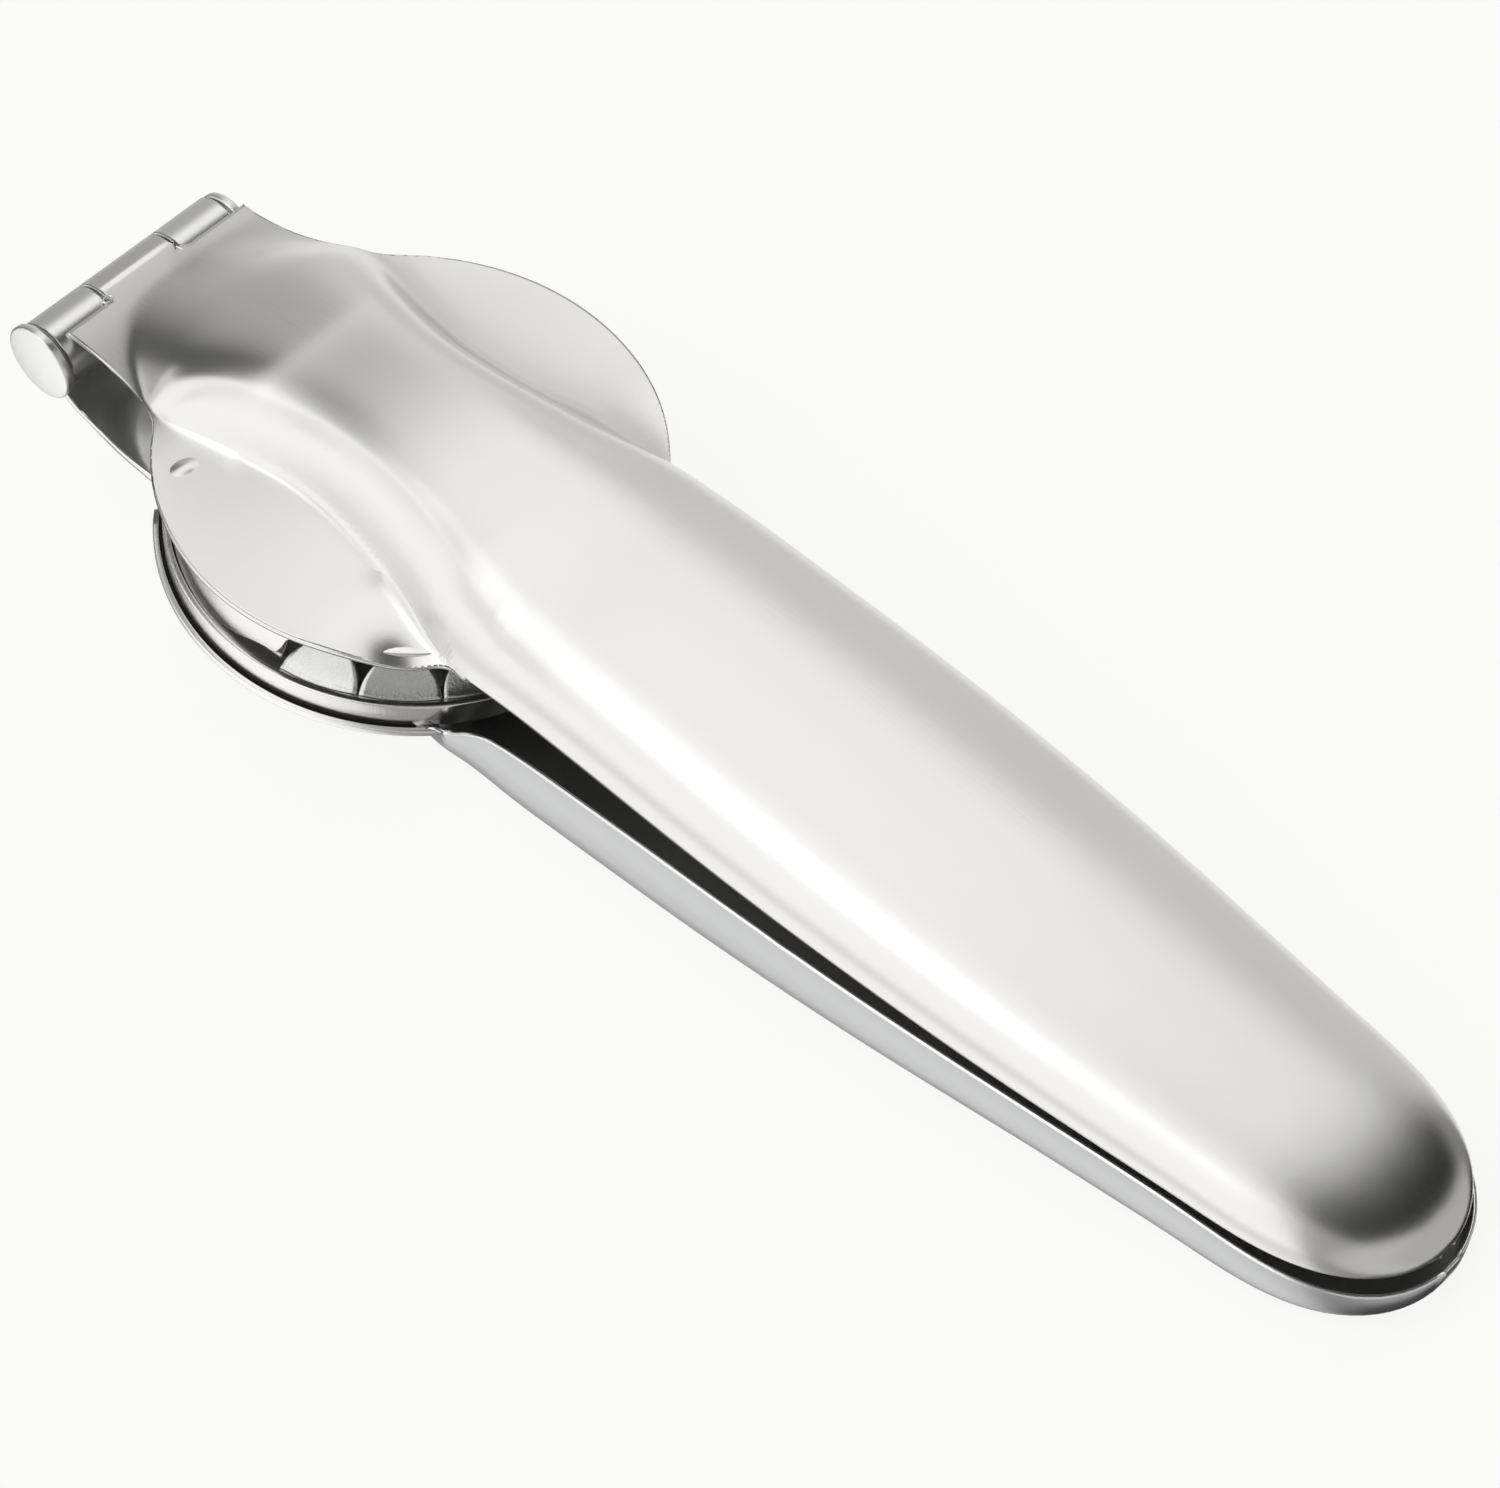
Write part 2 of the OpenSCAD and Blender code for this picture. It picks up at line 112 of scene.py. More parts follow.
def curve(stations, x, blur=0.0):
    """Smooth curve through the stations, level at those equal to a neighbour, then blurred along the arm."""
    s = np.array(stations, float)
    xs, v = s[:, 0], s[:, 1]
    n = len(s)
    tan = np.zeros(n)
    for i in range(n):
        if i == 0:
            tan[i] = (v[1] - v[0]) / (xs[1] - xs[0])
        elif i == n - 1:
            tan[i] = (v[-1] - v[-2]) / (xs[-1] - xs[-2])
        elif v[i] != v[i - 1] and v[i] != v[i + 1]:
            tan[i] = (v[i + 1] - v[i - 1]) / (xs[i + 1] - xs[i - 1])

    def plain(q):
        q = np.clip(q, xs[0], xs[-1])
        i = np.clip(np.searchsorted(xs, q, side="right") - 1, 0, n - 2)
        h = xs[i + 1] - xs[i]
        t = (q - xs[i]) / h
        return (v[i] * (2 * t**3 - 3 * t**2 + 1) + tan[i] * h * (t**3 - 2 * t**2 + t)
                + v[i + 1] * (3 * t**2 - 2 * t**3) + tan[i + 1] * h * (t**3 - t**2))

    x = np.asarray(x, float)
    if not blur:
        return plain(x)
    total, weight = 0.0, 0.0
    for k in np.linspace(-2.4, 2.4, 13):
        w = math.exp(-0.5 * k * k)
        total = total + w * plain(x + k * blur)
        weight += w
    return total / weight


def smooth_step(t):
    c = np.clip(t, 0, 1)
    return c * c * (3 - 2 * c)


def soft_max(a, b, k):
    """The larger of a and b, rounded where they are within k of each other."""
    return np.maximum(a, b) + np.maximum(k - np.abs(a - b), 0) ** 2 / (4 * k)


def tip_part(x, tip):
    """0 up to TIP_START, then rising to 1 at the tip."""
    return np.clip((x - TIP_START) / (tip - TIP_START), 0, 1)


def half_width(x, plate, head_x, head_r, side, tip, power):
    """Half the arm's width at x: the hinge plate, the round head and the handle, blended."""
    disc = np.sqrt(np.maximum(head_r**2 - (x - head_x) ** 2, 0))
    handle = curve(side, x, 3) * np.sqrt(np.maximum(1 - tip_part(x, tip) ** power, 0))
    return np.where(x < 20.5, soft_max(plate, disc, 0.8), np.where(x > 50, soft_max(disc, handle, 1.5), disc))


def lid_half_width(x):
    return half_width(x, 13.3 + 3.3 * (np.maximum(x, 0) / 19) ** 3, LID_X, LID_R, LID_SIDE, ARM_L, 2.8)


def trough_half_width(x):
    return half_width(x, -NEAR_END + 0.8 * smooth_step((x - 2) / 12), TROUGH_X, TROUGH_R - 0.35, TROUGH_SIDE,
                      TROUGH_TIP, 2.9)


def ridge(x, y, half_w, ridge_w, front, sharp, full, tip, power, fillet):
    """Height of the pressed ridge, from 0 beside it to 1 along its top, with a rounded foot on the head."""
    w = np.where(x < HEAD_END, np.minimum(curve(ridge_w, x, 1.5), half_w), half_w)
    s = np.where(x < NECK_X,
                 ((np.abs(y) / w) ** 2.2 + (np.maximum(NECK_X - x, 0) / front) ** 2.2) ** (1 / 2.2),
                 np.abs(y) / w)
    rise = 1 - s**sharp
    e = fillet * (1 - smooth_step((x - 50) / 13)) * np.where(y > 0, 1 + 3.5 * smooth_step(y / 6), 1)
    rise = (rise + np.sqrt(rise**2 + e**2)) / (1 + np.sqrt(1 + e**2))
    return (1 - tip_part(x, tip) ** power) ** (1 / power) * np.maximum(rise, 0) ** full


def climb(x):
    """Share of the dome's height reached on the way up from the hinge."""
    t = np.clip((28 - x) / 24, 0, 1)
    return 1 - (np.sqrt(t**2 + 0.0036) - 0.06) ** 1.4


def lid_z(x, y):
    """Height of the lid's upper face."""
    off = np.maximum(1 - ((x - LID_X) ** 2 + y**2) / LID_R**2, 0)
    dent = np.where(y < 0, 2.0, 0.6) * np.exp(-(((x - DENT_X) / 6) ** 2) - ((np.abs(y) - DENT_Y) / 4.5) ** 2)
    rise = ridge(x, y, lid_half_width(x), LID_RIDGE_W, LID_FRONT, curve(LID_SHARP, x, 3),
                 curve(LID_FULL, x, 2.5), ARM_L, 3, 0.14)
    return curve(LID_BASE, x, 0.8) + off**2 - dent + curve(LID_HEIGHT, x, 3) * climb(x) * rise


def trough_z(x, y):
    """Height of the trough's lower face, which never goes below the surface it rests on."""
    top = curve(TROUGH_RIM, x) - curve(TROUGH_EDGE, x)
    drop = ridge(x, y, trough_half_width(x), TROUGH_RIDGE_W, TROUGH_FRONT, curve(TROUGH_SHARP, x, 2),
                 curve(TROUGH_FULL, x, 2), TROUGH_TIP, 6, 0.1)
    z = top - (top - curve(TROUGH_BELLY, x, 3)) * drop
    return np.maximum(z, REST_HEAD[1] + REST_SLOPE * (x - REST_HEAD[0]))


# ---------------------------------------------------------------------------
# Meshes
def mesh_piece(name, verts, faces, materials, kinds=None, row_frame=False):
    """One smooth-shaded piece, from arm-frame points in millimetres or from row-frame points in metres."""
    co = np.asarray(verts, float) if row_frame else place(np.asarray(verts, float))
    mesh = bpy.data.meshes.new(name)
    mesh.from_pydata([tuple(v) for v in co], [], [tuple(int(i) for i in f) for f in faces])
    for m in materials:
        mesh.materials.append(m)
    if kinds is not None:
        mesh.polygons.foreach_set("material_index", np.asarray(kinds, np.int32))
    mesh.polygons.foreach_set("use_smooth", [True] * len(mesh.polygons))
    mesh.validate()
    mesh.update()
    obj = bpy.data.objects.new(name, mesh)
    bpy.context.scene.collection.objects.link(obj)
    return obj


def grid_normals(g):
    """Unit normal at each point of a grid of points."""
    du = np.zeros_like(g)
    dv = np.zeros_like(g)
    du[1:-1] = g[2:] - g[:-2]
    du[0], du[-1] = g[1] - g[0], g[-1] - g[-2]
    dv[:, 1:-1] = g[:, 2:] - g[:, :-2]
    dv[:, 0], dv[:, -1] = g[:, 1] - g[:, 0], g[:, -1] - g[:, -2]
    n = np.cross(du, dv)
    return n / np.maximum(np.linalg.norm(n, axis=-1, keepdims=True), 1e-9)


def sheet(a, b, keep, bulge=0.2, steps=4):
    """Closed sheet between the grids a (whose normals point out of the sheet) and b, on the kept cells,
    with a rounded edge. Returns points, faces and each face's kind: 0 side a, 1 side b, 2 edge."""
    rows, cols = a.shape[:2]
    used = np.zeros((rows, cols), bool)
    cells = np.argwhere(keep)
    for di in (0, 1):
        for dj in (0, 1):
            used[cells[:, 0] + di, cells[:, 1] + dj] = True
    index = -np.ones((rows, cols), int)
    index[used] = np.arange(used.sum())
    count = int(used.sum())
    pa, pb = a[used].copy(), b[used].copy()
    na = grid_normals(a)[used]
    faces, kinds = [], []
    padded = np.pad(keep, 1)
    edges = []
    for i, j in cells:
        q = [index[i, j], index[i + 1, j], index[i + 1, j + 1], index[i, j + 1]]
        faces.append(q)
        kinds.append(0)
        faces.append([count + k for k in reversed(q)])
        kinds.append(1)
        around = ((padded[i + 1, j], q[0], q[1]), (padded[i + 2, j + 1], q[1], q[2]),
                  (padded[i + 1, j + 2], q[2], q[3]), (padded[i, j + 1], q[3], q[0]))
        edges += [(p, r) for there, p, r in around if not there]
    out = {}
    for p, r in edges:
        d = pa[r] - pa[p]
        t = np.cross(d, na[p] + na[r])
        t /= max(np.linalg.norm(t), 1e-9)
        for k in (p, r):
            out[k] = out.get(k, 0) + t
    ring = {}
    verts = [pa, pb]
    extra = []
    nxt = 2 * count
    for k, t in out.items():
        t = t / max(np.linalg.norm(t), 1e-9)
        pa[k] -= t * bulge
        pb[k] -= t * bulge
        ids = [k]
        for m in range(1, steps):
            f = math.pi * m / steps
            extra.append(pa[k] + (pb[k] - pa[k]) * (1 - math.cos(f)) / 2 + t * bulge * math.sin(f))
            ids.append(nxt)
            nxt += 1
        ring[k] = ids + [count + k]
    for p, r in edges:
        for m in range(steps):
            faces.append([ring[r][m], ring[p][m], ring[p][m + 1], ring[r][m + 1]])
            kinds.append(2)
    return np.vstack(verts + [np.array(extra)]), faces, kinds


def across(half_w, foot):
    """Places across a row, as shares of half_w from -1 to 1, dense at the ridge's foot and at the rim."""
    k = np.arange(COLUMNS_RIDGE + 1) / COLUMNS_RIDGE
    inner = foot * np.sin(np.pi / 2 * k)
    w = np.arange(1, COLUMNS_WING + 1) / COLUMNS_WING
    outer = foot + (half_w - foot) * np.sin(np.pi / 2 * w)
    h = np.concatenate([inner, outer]) / half_w
    return np.concatenate([-h[:0:-1], h])


def arm_grid(xs, half_fn, z_fn, ridge_w, front, ends, knuckle):
    """Grid of a pressed arm, one row for each x. Near the pin the columns follow the knuckle's ends.
    Returns the grid, the columns' places at the pin, and the columns at the ends and knuckle ends."""
    n = 2 * (COLUMNS_RIDGE + COLUMNS_WING) + 1
    lo, hi = ends
    marks = sorted([lo, hi, *knuckle])
    lengths = np.diff(marks)
    share = np.maximum(4, np.round(lengths / lengths.sum() * (n - 1))).astype(int)
    while share.sum() > n - 1:
        share[np.argmax(share)] -= 1
    while share.sum() < n - 1:
        share[np.argmin(share)] += 1
    straight = [lo]
    mark_cols = {lo: 0}
    for m, (s0, s1) in enumerate(zip(marks[:-1], marks[1:])):
        c = share[m]
        f = (1 - np.cos(np.pi * np.arange(1, c + 1) / c)) / 2
        f = 0.5 * f + 0.5 * np.arange(1, c + 1) / c
        straight += list(s0 + (s1 - s0) * f)
        mark_cols[s1] = len(straight) - 1
    straight = np.array(straight)
    g = np.zeros((len(xs), n, 3))
    for i, x in enumerate(xs):
        hw = float(half_fn(np.array(x)))
        w = float(curve(ridge_w, x, 1.5))
        foot = w * max(1 - (max(NECK_X - x, 0) / front) ** 2.2, 0) ** (1 / 2.2) if x < NECK_X else w
        foot = min(max(foot, 0.55 * hw), 0.93 * hw) if x < HEAD_END else 0.93 * hw
        blend = float(smooth_step((x - HEAD_END) / 8))
        u = across(hw, foot)
        even = np.sin(np.pi / 2 * np.linspace(-1, 1, n))
        u = (1 - blend) * u + blend * even
        y = u * hw
        near = 1 - float(smooth_step((x - 2.2) / 9))
        if near > 0:
            scale_lo, scale_hi = -hw / lo, hw / hi
            grow = float(smooth_step((x - 2.2) / 5))
            scaled = np.where(straight < 0, straight * scale_lo, straight * scale_hi)
            base = straight * (1 - grow) + scaled * grow
            y = near * base + (1 - near) * y
        g[i, :, 0], g[i, :, 1] = x, y
        g[i, :, 2] = z_fn(np.full(n, x, float), y)
    return g, straight, mark_cols


def tip_rows(tip, n=22):
    """Rows of the rounded tip, closer and closer together."""
    return TIP_START + (tip - TIP_START) * np.sin(np.pi / 2 * np.arange(n) / n)


def end_row(grid, x, z):
    """Closes a tip: the last row again, at the rim."""
    row = grid[-1:].copy()
    row[0, :, 0], row[0, :, 2] = x, z
    return row


def curl_round(grid, turns, radius):
    """Puts the grid's first rows on a cylinder round the pin, one row for each angle."""
    for i, a in enumerate(turns):
        grid[i, :, 0] = radius * math.cos(a)
        grid[i, :, 2] = PIN_Z + radius * math.sin(a)


def curl_rows(turns, straight):
    """Rows of a knuckle's outer face, with the columns at their places at the pin."""
    rows = np.zeros((len(turns), len(straight), 3))
    rows[:, :, 1] = straight
    curl_round(rows, turns, KNUCKLE_R)
    return rows


# ---------------------------------------------------------------------------
# Materials
def node(tree, kind, **inputs):
    made = tree.nodes.new(kind)
    for key, value in inputs.items():
        made.inputs[key.replace("_", " ")].default_value = value
    return made


def steel(name, color, rough, spread, streak=(1, 1, 1), stain=0.04, bump=0.02, scuff=0.5):
    """Satin stainless steel: cloudy colour and roughness, fine grain drawn out by streak, and scuffs."""
    m = bpy.data.materials.new(name)
    m.use_nodes = True
    tree = m.node_tree
    link = tree.links.new
    bsdf = tree.nodes["Principled BSDF"]
    bsdf.inputs["Metallic"].default_value = 1.0
    bsdf.inputs["IOR"].default_value = 2.5
    where = tree.nodes.new("ShaderNodeTexCoord")
    clouds = node(tree, "ShaderNodeTexNoise", Scale=38.0, Detail=3.0, Roughness=0.55)
    link(where.outputs["Object"], clouds.inputs["Vector"])
    along = tree.nodes.new("ShaderNodeMapping")
    along.inputs["Rotation"].default_value = (0, -TILT, 0)
    along.inputs["Scale"].default_value = streak
    link(where.outputs["Object"], along.inputs["Vector"])
    fine = node(tree, "ShaderNodeTexNoise", Scale=2600.0, Detail=4.0, Roughness=0.6)
    link(along.outputs["Vector"], fine.inputs["Vector"])
    scuffs = node(tree, "ShaderNodeTexNoise", Scale=420.0, Detail=6.0, Roughness=0.7)
    link(where.outputs["Object"], scuffs.inputs["Vector"])
    tint = tree.nodes.new("ShaderNodeMix")
    tint.data_type = "RGBA"
    tint.inputs["A"].default_value = (*[c * (1 - stain) for c in color], 1)
    tint.inputs["B"].default_value = (*[min(c * (1 + stain), 1) for c in color], 1)
    link(clouds.outputs["Fac"], tint.inputs["Factor"])
    link(tint.outputs["Result"], bsdf.inputs["Base Color"])
    mixed = tree.nodes.new("ShaderNodeMath")
    mixed.operation = "MULTIPLY_ADD"
    link(scuffs.outputs["Fac"], mixed.inputs[0])
    mixed.inputs[1].default_value = scuff
    link(clouds.outputs["Fac"], mixed.inputs[2])
    span = tree.nodes.new("ShaderNodeMapRange")
    span.inputs["From Min"].default_value = 0.3
    span.inputs["From Max"].default_value = 0.3 + 0.45 * (1 + scuff)
    span.inputs["To Min"].default_value = rough - spread
    span.inputs["To Max"].default_value = rough + spread
    link(mixed.outputs["Value"], span.inputs["Value"])
    link(span.outputs["Result"], bsdf.inputs["Roughness"])
    height = tree.nodes.new("ShaderNodeBump")
    height.inputs["Strength"].default_value = bump
    height.inputs["Distance"].default_value = 0.0001
    link(fine.outputs["Fac"], height.inputs["Height"])
    link(height.outputs["Normal"], bsdf.inputs["Normal"])
    return m


ALONG = (0.04, 1, 1)
LID_STEEL = steel("lid_satin_steel", (0.78, 0.775, 0.765), 0.225, 0.03, streak=ALONG, bump=0.07, scuff=0.2)
TROUGH_STEEL = steel("trough_satin_steel", (0.84, 0.84, 0.83), 0.3, 0.04, streak=ALONG, bump=0.10)
# Greyer copy of the trough's steel: painted shade on the channel handle.
CHANNEL_SHADED_STEEL = steel("channel_steel_painted_shade", (0.575, 0.58, 0.59), 0.3, 0.05, streak=ALONG, bump=0.12)
EDGE_STEEL = steel("sheared_edge_steel", (0.86, 0.86, 0.85), 0.2, 0.04, streak=(1, 1, 0.1), bump=0.12)
# Darker copy of the sheet steel: painted shade on the arms' inner faces.
INNER_SHADED_STEEL = steel("inner_steel_painted_shade", (0.5, 0.5, 0.49), 0.38, 0.05, bump=0.1)
HINGE_STEEL = steel("hinge_satin_steel", (0.80, 0.80, 0.79), 0.24, 0.05, streak=(1, 0.1, 1), bump=0.1)
CAP_STEEL = steel("cap_tumbled_steel", (0.88, 0.88, 0.87), 0.3, 0.09, stain=0.1, bump=0.25, scuff=1.4)
BAND_STEEL = steel("band_rolled_steel", (0.86, 0.85, 0.83), 0.25, 0.05, streak=(1, 1, 0.08), bump=0.15)
LIP_STEEL = steel("lip_steel", (0.90, 0.90, 0.89), 0.26, 0.05, bump=0.12)
CROWN_STEEL = steel("crown_steel", (0.70, 0.70, 0.70), 0.24, 0.08, stain=0.1, bump=0.3, scuff=1.2)
# Near-black steel: painted shade in the rim's groove.
GROOVE_PAINTED_SHADE = steel("painted_groove_shade", (0.03, 0.03, 0.028), 0.6, 0.08, bump=0.2)


# ---------------------------------------------------------------------------
# Lid arm
def notch_warp(g, xs, straight, corner_y, radius):
    """Rounds a notch's inner corner: the rows near the notch's edge bend back towards the knuckle."""
    for i, x in enumerate(xs):
        if x < NOTCH_X - 0.01:
            continue
        fade = 1 - float(smooth_step((x - NOTCH_X) / 2.6))
        if fade <= 0:
            break
        for j, s in enumerate(straight):
            d = s - corner_y
            if 0 <= d < radius:
                g[i, j, 0] -= fade * (radius - math.sqrt(max(radius**2 - (radius - d) ** 2, 0)))


def make_lid():
    """The lid arm: knuckle, hinge plate, domed head and crowned handle, as one sheet."""
    xs = np.concatenate([[0.0, 0.5, 1.0, NOTCH_X], np.arange(2.3, 15, 0.65), np.arange(15, 57, 0.9),
                         np.arange(57, 68, 0.45), np.arange(68, TIP_START, 1.9), tip_rows(ARM_L)])
    g, straight, cols = arm_grid(xs, lid_half_width, lid_z, LID_RIDGE_W, LID_FRONT, (-13.3, 13.3),
                                 LID_KNUCKLE)
    notch_warp(g, xs, straight, LID_KNUCKLE[1], 1.5)
    g[:, :, 2] = lid_z(g[:, :, 0], g[:, :, 1])
    turns = np.radians(np.arange(385, 90, -6.0))
    full = np.concatenate([curl_rows(turns, straight), g, end_row(g, ARM_L - 0.01, 0.0)])
    c0, c1 = cols[LID_KNUCKLE[0]], cols[LID_KNUCKLE[1]]
    keep = np.ones((full.shape[0] - 1, full.shape[1] - 1), bool)
    first = len(turns) + 3
    keep[:first, :c0] = False
    keep[:first, c1:] = False
    inner = full - T * grid_normals(full)
    curl_round(inner, turns, KNUCKLE_R - T)
    verts, faces, kinds = sheet(full, inner, keep)
    # The lid's underside takes the darker inner steel, painted shade.
    lid = mesh_piece("lid_arm", verts, faces, [LID_STEEL, INNER_SHADED_STEEL, EDGE_STEEL], kinds)
    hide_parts("upper_arm")
    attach(lid, "upper_body")


def make_trough():
    """The trough arm: outer knuckles, hinge plate, dished head with its flange, and channel handle."""
    xs = np.concatenate([[0.0, 0.5, 1.0, NOTCH_X], np.arange(2.3, 15, 0.65), np.arange(15, 56, 0.9),
                         np.arange(56, 74, 0.5), np.arange(74, TIP_START, 1.9), tip_rows(TROUGH_TIP)])
    near_knuckle = LID_KNUCKLE[0] - 0.2
    far_knuckle = LID_KNUCKLE[1] + 0.2
    g, straight, cols = arm_grid(xs, trough_half_width, trough_z, TROUGH_RIDGE_W, TROUGH_FRONT,
                                 (NEAR_END, FAR_END), (near_knuckle, far_knuckle))
    turns = np.radians(np.arange(-25, 270, 6.0))
    full = np.concatenate([curl_rows(turns, straight), g, end_row(g, TROUGH_TIP - 0.01, -2.2)])
    c0, c1 = cols[near_knuckle], cols[far_knuckle]
    keep = np.ones((full.shape[0] - 1, full.shape[1] - 1), bool)
    keep[:len(turns) + 3, c0:c1] = False
    # The sheet is drawn thinner at the flange's rim and along the handle.
    reach = np.hypot(full[:, :, 0] - TROUGH_X, full[:, :, 1])
    thin = smooth_step((reach - 22.5) / 2.5) * smooth_step((full[:, :, 0] - 17) / 3)
    thin *= 1 - smooth_step((full[:, :, 0] - 59) / 4)
    thin = np.maximum(0.5 * thin, 0.28 * smooth_step((full[:, :, 0] - 62) / 6))
    inner = full + (T - thin)[:, :, None] * grid_normals(full)
    curl_round(inner, turns, KNUCKLE_R - T)
    verts, faces, kinds = sheet(inner, full, keep)
    # Painted shade: the inside takes the bright steel in the head and the darker inner steel in the channel,
    # and the channel's outside a greyer steel.
    middle = np.array([verts[f, 0].mean() for f in faces])
    kinds = np.where((np.array(kinds) == 0) & (middle < 64), 1, kinds)
    kinds = np.where((kinds == 1) & (middle > 58), 3, kinds)
    trough = mesh_piece("trough_arm", verts, faces,
                        [INNER_SHADED_STEEL, TROUGH_STEEL, EDGE_STEEL, CHANNEL_SHADED_STEEL], kinds)
    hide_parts("lower_arm")
    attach(trough, "lower_body")


make_lid()
make_trough()

# ---------------------------------------------------------------------------
# Turned and ring-shaped pieces
def rounded(corners, radius, steps=4):
    """Closed profile through the corners (r, h), each corner rounded."""
    pts = np.array(corners, float)
    n = len(pts)
    out = []
    for i in range(n):
        p, before, after = pts[i], pts[i - 1], pts[(i + 1) % n]
        a, b = before - p, after - p
        la, lb = np.linalg.norm(a), np.linalg.norm(b)
        c = min(radius, 0.45 * la, 0.45 * lb)
        s0, s1 = p + a / la * c, p + b / lb * c
        for k in range(steps + 1):
            t = k / steps
            out.append((1 - t) ** 2 * s0 + 2 * t * (1 - t) * p + t * t * s1)
    return np.array(out)


def loop_faces(m, n, closed=True):
    """Faces between m loops of n points each; the last loop joins the first if closed."""
    faces = []
    for i in range(m if closed else m - 1):
        for k in range(n):
            a0, a1 = i * n + k, i * n + (k + 1) % n
            b0, b1 = ((i + 1) % m) * n + k, ((i + 1) % m) * n + (k + 1) % n
            faces.append([a0, a1, b1, b0])
    return faces


def ring_piece(name, rings, material, around=None):
    """Ring round the trough head's axis. rings(angle in degrees) gives the closed profile there. around
    gives the angles of an open ring, which has its ends capped."""
    full = around is None
    angles = np.linspace(0, 360, 241)[:-1] if full else np.asarray(around, float)
    loops = []
    for a in angles:
        prof = rings(a)
        c, s = math.cos(math.radians(a)), math.sin(math.radians(a))
        loops.append(np.stack([TROUGH_X + prof[:, 0] * c, prof[:, 0] * s, prof[:, 1]], -1))
    m, n = len(loops), len(loops[0])
    verts = np.concatenate(loops)
    faces = loop_faces(m, n, full)
    if not full:
        faces.append(list(range(n))[::-1])
        faces.append([(m - 1) * n + k for k in range(n)])
    return mesh_piece(name, verts, faces, [material])


def pin_head(name, side, centre, profile, material, steps=96):
    """Turned head on the pin's axis, at the end given by side: profile gives (radius, distance out along
    the axis), first and last on the axis."""
    loops = [np.array([[0.0, profile[0][1], 0.0]])]
    for r, h in profile[1:-1]:
        t = np.arange(steps) * 2 * np.pi / steps
        loops.append(np.stack([r * np.cos(t), np.full(steps, h), r * np.sin(t)], -1))
    loops.append(np.array([[0.0, profile[-1][1], 0.0]]))
    pts = np.concatenate(loops)
    pts[:, 1] *= side
    faces = []
    last = len(pts) - 1
    count = len(profile) - 2
    for k in range(steps):
        q = (k + 1) % steps
        faces.append([0, 1 + q, 1 + k])
        for m in range(count - 1):
            a, b = 1 + m * steps, 1 + (m + 1) * steps
            faces.append([a + k, a + q, b + q, b + k])
        faces.append([1 + (count - 1) * steps + k, 1 + (count - 1) * steps + q, last])
    if side > 0:
        faces = [f[::-1] for f in faces]
    return mesh_piece(name, pts / 1000 + np.array(centre), faces, [material], row_frame=True)


def head_profile(radius, inner, wall, edge, dome):
    """From the inner face's middle, round the wall and over the shallow dome."""
    prof = [(0, inner), (radius - 0.35, inner)]
    prof += [(radius - 0.25 + 0.25 * math.sin(t), inner + 0.25 - 0.25 * math.cos(t))
             for t in np.radians([0, 30, 60, 90])]
    prof += [(radius - edge + edge * math.cos(t), wall - edge + edge * math.sin(t))
             for t in np.radians([0, 18, 36, 54, 70])]
    r0, h0 = prof[-1]
    prof += [(r0 * (1 - k), h0 + dome * (1 - (1 - k) ** 2)) for k in (0.04, 0.1, 0.2, 0.35, 0.5, 0.7, 0.85)]
    return prof + [(0, h0 + dome)]


def fit(piece, node_name, body):
    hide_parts(node_name)
    add(piece, body)


def add(piece, body):
    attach(piece, body)


near_out = -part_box("near_pin_cap")[0].y * 1000
far_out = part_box("far_pin_cap")[1].y * 1000
fit(pin_head("near_cap", -1, HINGE, head_profile(4.58, -NEAR_END + 0.28, near_out - 0.35, 0.28, 0.24),
             CAP_STEEL), "near_pin_cap", "lower_body")
fit(pin_head("far_cap", 1, HINGE, head_profile(4.08, FAR_END + 0.28, far_out - 0.3, 0.4, 0.2),
             CAP_STEEL), "far_pin_cap", "lower_body")

BAND_R, BAND_IN, BAND_TOP = 27.2, 27.2 - 0.7, -8.0
FLANGE = -10.9          # top of the lip, and the CAD flange's upper face
SEAT = FLANGE - 0.45    # foot of the band and of the crown
band_profile = rounded([(BAND_R, SEAT), (BAND_R, BAND_TOP), (BAND_IN, BAND_TOP), (BAND_IN, SEAT)], 0.22)
fit(ring_piece("ring_band_rolled", lambda a: band_profile, BAND_STEEL), "ring_band",
    "lower_body")


def lip_profile(a):
    """The rim's lip: low where it runs out into the plate and into the handle."""
    away = abs((a + 180) % 360 - 180)
    up = min(1.0, max(0.0, (away - 40.5) / 0.8), max(0.0, (139.5 - away) / 5))
    top = FLANGE - 0.55 * (1 - up)
    return rounded([(28.27, -11.72), (28.27, top), (27.62, top), (27.62, -11.72)], 0.16)


# Thin near-black ring in the groove between the band and the lip: painted shade.
shade_ring_profile = rounded([(27.7, -11.5), (27.7, -11.28), (27.1, -11.28), (27.1, -11.5)], 0.05)
far_arc = np.concatenate([np.linspace(40.5, 41.4, 6), np.linspace(42, 134, 93), np.linspace(134.6, 139.4, 9)])
for which, arc in (("near", -far_arc[::-1]), ("far", far_arc)):
    add(ring_piece("rim_lip_" + which, lip_profile, LIP_STEEL, around=arc), "lower_body")
    add(ring_piece("rim_groove_shade_" + which, lambda a: shade_ring_profile, GROOVE_PAINTED_SHADE, around=arc),
        "lower_body")


TEETH = 18


